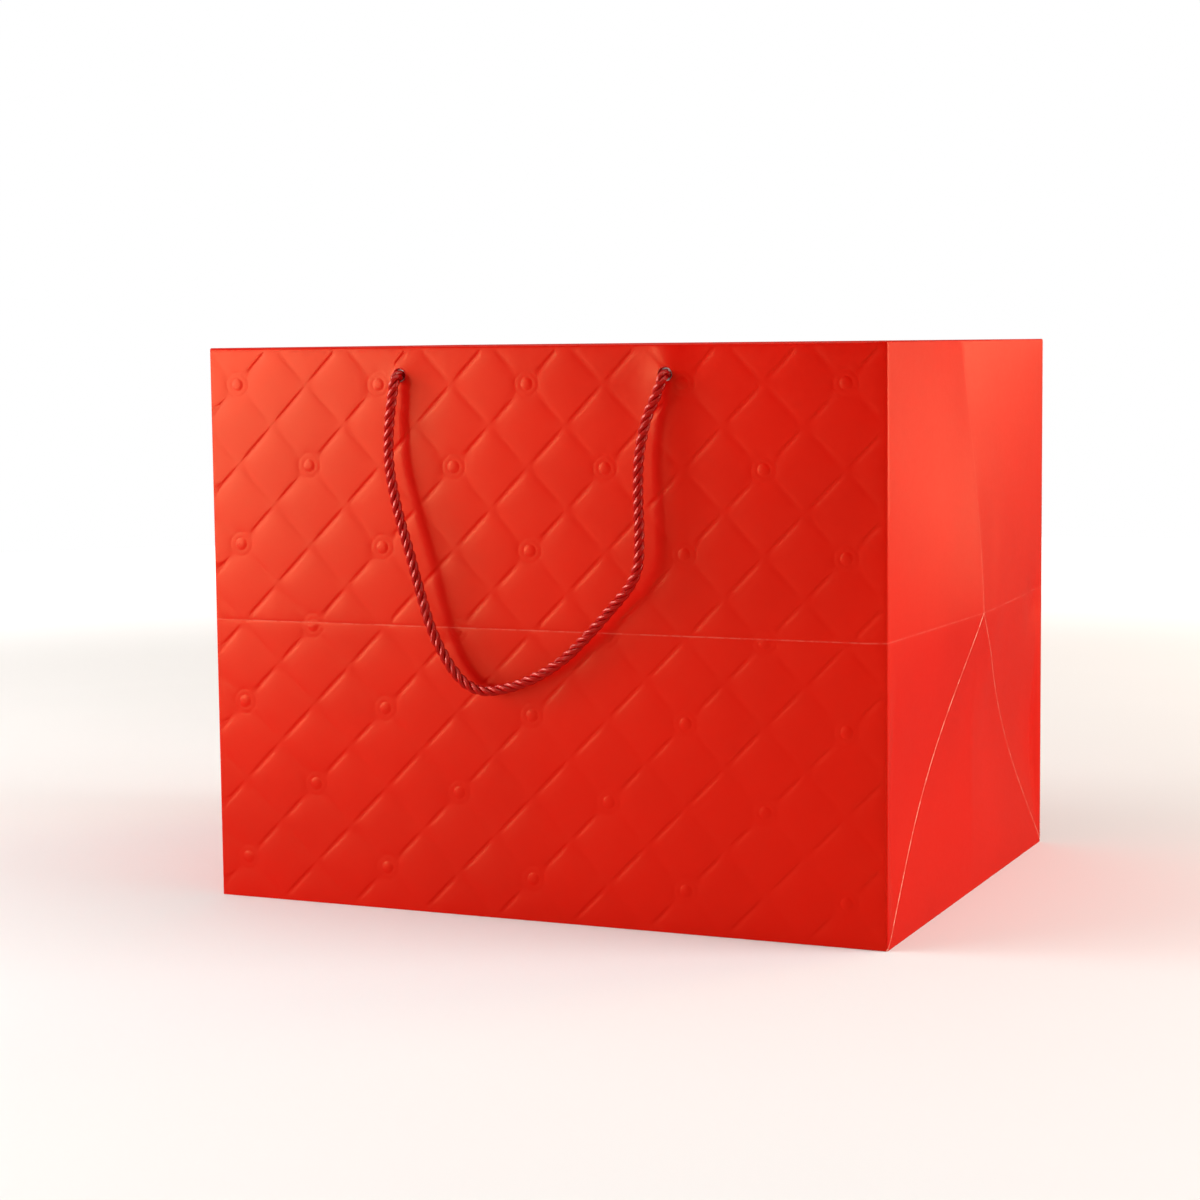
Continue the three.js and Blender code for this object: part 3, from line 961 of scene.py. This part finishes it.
def stop_knot_curve(side):
    """An overhand knot inside the wall, below its hole: in from the eyelet, round three
    lobes, and out into a short tail. It is measured from the hole's centre, with +Y inwards."""
    lobe = 1.95 * MM
    flat = 2.3 * MM
    inside = 4.2 * MM
    middle_y = inside + 4.6 * MM
    middle_z = -3 * lobe
    points = [(0.0, 0.5 * MM, 0.0), (0.0, inside - 1 * MM, 0.0)]
    for i in range(15):
        t = math.pi + 0.42 + (2 * math.pi - 0.84) * i / 14
        x = side * lobe * (math.sin(t) + 2 * math.sin(2 * t))
        z = middle_z - lobe * (math.cos(t) - 2 * math.cos(2 * t))
        points.append((x, middle_y - flat * math.sin(3 * t), z))
    points.append((-side * 3.2 * MM, middle_y + 4.6 * MM, 1.0 * MM))
    points.append((-side * 4.4 * MM, middle_y + 6.0 * MM, -6 * MM))
    points.append((-side * 4.9 * MM, middle_y + 5.6 * MM, -17 * MM))
    return catmull_rom(points)


def wall_rope(name, degrees):
    """One wall's handle with its two stop knots, turned from the front to its own wall."""
    for end, side in (("left", -1), ("right", 1)):
        curve = stop_knot_curve(side) + np.array((side * HOLE_X, -DEPTH / 2, HOLE_Z))
        knot, _ = twisted_rope(f"{name}_stop_knot_{end}", curve, loosen_end=6 * MM)
        turned(knot, degrees)
        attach(knot, "bag")
        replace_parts(knot, f"{name}_knot_{end}")
    rope, path = twisted_rope(f"{name}_rope_handle", handle_curve())
    turned(rope, degrees)
    turn = Matrix.Rotation(math.radians(degrees), 3, "Z")
    path = [turn @ Vector(p) for p in path]
    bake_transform(rope)
    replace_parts(rope, f"{name}_handle")


wall_rope("front", 0)
wall_rope("back", 180)

# ---------------------------------------------------------------- eyelets


LIP_R = 3.75 * MM
LIP_ROLL = 0.31 * MM
LIP_PROUD = 0.7 * MM
EYELET_SIDES = 48
ROLL_STEPS = 8


def eyelet(name, hole_x, degrees):
    """A rolled ring: a lip on each side of the wall and a barrel through it."""
    front, back = -LIP_PROUD, FRONT_STACK + PAPER + LIP_PROUD
    middle_r = LIP_R - LIP_ROLL
    half_circle = [math.pi * i / ROLL_STEPS for i in range(ROLL_STEPS + 1)]
    roll = [(LIP_ROLL * math.cos(t), LIP_ROLL * math.sin(t)) for t in half_circle]
    profile = [(middle_r + out, front + LIP_ROLL - up) for out, up in roll]
    profile += [(middle_r - out, back - LIP_ROLL + up) for out, up in roll]
    sides = EYELET_SIDES
    points, faces = [], []
    for i in range(sides):
        angle = 2 * math.pi * i / sides
        for r, y in profile:
            x, z = r * math.cos(angle), r * math.sin(angle)
            points.append((hole_x + x, -DEPTH / 2 + y, HOLE_Z + z))
    n = len(profile)
    for i in range(sides):
        j = (i + 1) % sides
        for k in range(n):
            k2 = (k + 1) % n
            faces.append((i * n + k, i * n + k2, j * n + k2, j * n + k))
    ring = turned(new_mesh(name, points, faces, [EYELET_RED]), degrees)
    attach(ring, "bag")
    return ring


for wall, turn_by in (("front", 0), ("back", 180)):
    for end, place in (("left", -HOLE_X), ("right", HOLE_X)):
        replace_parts(eyelet(f"{wall}_rolled_eyelet_{end}", place, turn_by), f"{wall}_eyelet_{end}")

# ---------------------------------------------------------------- card and bottom


def rounded_slab(name, outline, low, high, material, rim=0.25 * MM):
    """A slab with the given outline in plan, with softened top and bottom edges."""
    made = bmesh.new()
    bottom = [made.verts.new((x, y, low)) for x, y in outline]
    made.faces.new(bottom)
    side = bmesh.ops.extrude_face_region(made, geom=list(made.faces))
    top = [e for e in side["geom"] if isinstance(e, bmesh.types.BMVert)]
    bmesh.ops.translate(made, vec=(0, 0, high - low), verts=top)
    bmesh.ops.recalc_face_normals(made, faces=made.faces)
    level = [e for e in made.edges if abs(e.verts[0].co.z - e.verts[1].co.z) < 1e-7]
    bmesh.ops.bevel(made, geom=level, offset=rim, segments=2, affect="EDGES", profile=0.6)
    mesh = bpy.data.meshes.new(name)
    made.to_mesh(mesh)
    made.free()
    mesh.materials.append(material)
    mesh.shade_smooth()
    obj = bpy.data.objects.new(name, mesh)
    bpy.context.scene.collection.objects.link(obj)
    return obj


def rounded_rectangle(low, high, radius, steps=5):
    corners = [
        (high[0] - radius, high[1] - radius, 0),
        (low[0] + radius, high[1] - radius, 1),
        (low[0] + radius, low[1] + radius, 2),
        (high[0] - radius, low[1] + radius, 3),
    ]
    outline = []
    for x, y, quarter in corners:
        for i in range(steps + 1):
            angle = (quarter + i / steps) * math.pi / 2
            outline.append((x + radius * math.cos(angle), y + radius * math.sin(angle)))
    return outline


board = rounded_slab(
    "loose_base_board",
    rounded_rectangle(BOARD_LOW, BOARD_HIGH, 4 * MM),
    BOARD_LOW[2],
    BOARD_HIGH[2],
    BOARD_GREY,
)
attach(board, "base_board")
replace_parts(board, "base_board")


def top_card(wall, degrees):
    """The board inside a wall's turned-in edge. It follows the wall's bends and has its holes."""
    low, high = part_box("front_top_card")
    # short of the CAD card at both ends, where the gussets are drawn in
    trim = 10 * MM
    # its outer face's distance behind the wall's outer face
    face = 0.85 * MM
    columns = np.linspace(low[0] + trim, high[0] - trim, 120)
    rows = np.linspace(low[2], high[2], 14)
    border = [(x, z) for z in (rows[0], rows[-1]) for x in columns]
    border += [(x, z) for x in (columns[0], columns[-1]) for z in rows[1:-1]]
    hole_middles = (-HOLE_X, HOLE_X)
    holes = [list(zip(*around((h, HOLE_Z), HOLE_R, HOLE_SIDES))) for h in hole_middles]
    loose = []
    for x in columns[1:-1]:
        for z in rows[1:-1]:
            if min(math.hypot(x - h, z - HOLE_Z) for h in hole_middles) > HOLE_R + MM:
                loose.append((x, z))
    places, triangles = triangulated(border, holes, loose, 0.0)
    x, z = np.array([tuple(p) for p in places]).T
    out = front_bend(x, z)
    front = np.stack([x, -DEPTH / 2 + face - out, z], axis=1)
    back = np.stack([x, high[1] - out, z], axis=1)
    count = len(x)
    rim = open_edges(triangles)
    faces = triangles + [(c + count, b + count, a + count) for a, b, c in triangles]
    faces += [(b, a, a + count, b + count) for a, b in sorted(rim)]
    card = new_mesh(f"{wall}_stiffening_card", np.concatenate([front, back]), faces, [BOARD_GREY])
    turned(card, degrees)
    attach(card, "bag")
    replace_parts(card, f"{wall}_top_card")


top_card("front", 0)
top_card("back", 180)

# the folded bottom keeps its shape, with a finish of its own
for node in ("front_bottom_flap", "back_bottom_flap", "right_bottom_flap", "left_bottom_flap"):
    for material_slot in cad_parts[node].material_slots:
        material_slot.material = PAPER_FLAP

# ---------------------------------------------------------------- stage and light


FLOOR_R = 2.3
FLOOR_SIDES = 96
FLOOR_Z = -0.2 * MM


def floor_sweep():
    """A round white floor whose glow, a painted light, grows outwards until it meets the white behind
    it.
    """
    n = Nodes("floor")
    from_middle = n.add("ShaderNodeVectorMath", operation="LENGTH")
    n.link(n.coordinates(), from_middle.inputs[0])
    near = n.math("MULTIPLY", n.ramp(from_middle.outputs["Value"], 0.25, 1.6), 0.30)
    far = n.math("MULTIPLY", n.ramp(from_middle.outputs["Value"], 1.0, 2.2), 0.80)
    glow = n.math("ADD", near, far)
    # the floor's glow is emission, a painted light that also lights the bag a little from below
    n.link(glow, n.shader.inputs["Emission Strength"])
    material = n.finish(
        n.mix(n.noise(3.0), (0.85, 0.85, 0.85), (0.87, 0.87, 0.87)),
        0.9,
        Specular_IOR_Level=0.1,
        Emission_Color=(1, 1, 1, 1),
    )
    rim = [2 * math.pi * i / FLOOR_SIDES for i in range(FLOOR_SIDES)]
    points = [(0, 0, FLOOR_Z)] + [(FLOOR_R * math.cos(a), FLOOR_R * math.sin(a), FLOOR_Z) for a in rim]
    faces = [(0, i + 1, (i + 1) % FLOOR_SIDES + 1) for i in range(FLOOR_SIDES)]
    floor = new_mesh("floor", points, faces, [material])
    # kept out of reflections, where its brightness would wash out the film's red
    floor.visible_glossy = False


# The light that the world casts, which is dimmer and warmer than the white it shows the camera
AMBIENT = 0.14
AMBIENT_COLOUR = (1.0, 0.80, 0.55, 1.0)


def make_world():
    """White behind the object, and a dimmer, warmer even light on it."""
    world = bpy.data.worlds.new("world")
    bpy.context.scene.world = world
    world.use_nodes = True
    tree = world.node_tree
    seen = tree.nodes.new("ShaderNodeLightPath").outputs["Is Camera Ray"]
    level = tree.nodes.new("ShaderNodeMapRange")
    level.inputs["To Min"].default_value = AMBIENT
    level.inputs["To Max"].default_value = 1.0
    tree.links.new(seen, level.inputs["Value"])
    colour = tree.nodes.new("ShaderNodeMix")
    colour.data_type = "RGBA"
    cast, shown = [socket for socket in colour.inputs if socket.type == "RGBA"]
    cast.default_value = AMBIENT_COLOUR
    shown.default_value = (1.0, 1.0, 1.0, 1.0)
    tree.links.new(seen, colour.inputs["Factor"])
    mixed = next(socket for socket in colour.outputs if socket.type == "RGBA")
    backdrop = tree.nodes["Background"]
    tree.links.new(mixed, backdrop.inputs["Color"])
    tree.links.new(level.outputs["Result"], backdrop.inputs["Strength"])


def softbox(name, azimuth, elevation, distance, size, power, colour=(1, 1, 1)):
    """A square soft light on a sphere round the bag's middle, which the camera doesn't see."""
    a, e = math.radians(azimuth), math.radians(elevation)
    centre = Vector((0, 0, HEIGHT / 2))
    outwards = Vector((math.sin(a) * math.cos(e), -math.cos(a) * math.cos(e), math.sin(e)))
    place = centre + distance * outwards
    data = bpy.data.lights.new(name, "AREA")
    data.shape = "SQUARE"
    data.size = size
    data.energy = power
    data.color = colour
    lamp = bpy.data.objects.new(name, data)
    lamp.location = place
    lamp.rotation_euler = (centre - place).to_track_quat("-Z", "Y").to_euler()
    lamp.visible_camera = False
    bpy.context.scene.collection.objects.link(lamp)


WARM = (1.0, 0.60, 0.34)

floor_sweep()
make_world()
# name, azimuth and elevation in degrees, distance and size in metres, power in watts
softbox("key", -70, 17, 2.2, 1.0, 13)
softbox("low_key", -70, 14, 1.3, 0.6, 4.2)
softbox("near_key", -55, 12, 1.3, 0.6, 3.7)
softbox("sheen", -38, 6, 1.5, 0.5, 6.3)
softbox("right", 98, 20, 2.2, 1.2, 37)
softbox("gusset_sheen", 138, 10, 2.2, 0.8, 17, WARM)
softbox("overhead", 0, 90, 2.6, 4.0, 48)
bpy.context.scene.view_settings.view_transform = "Standard"
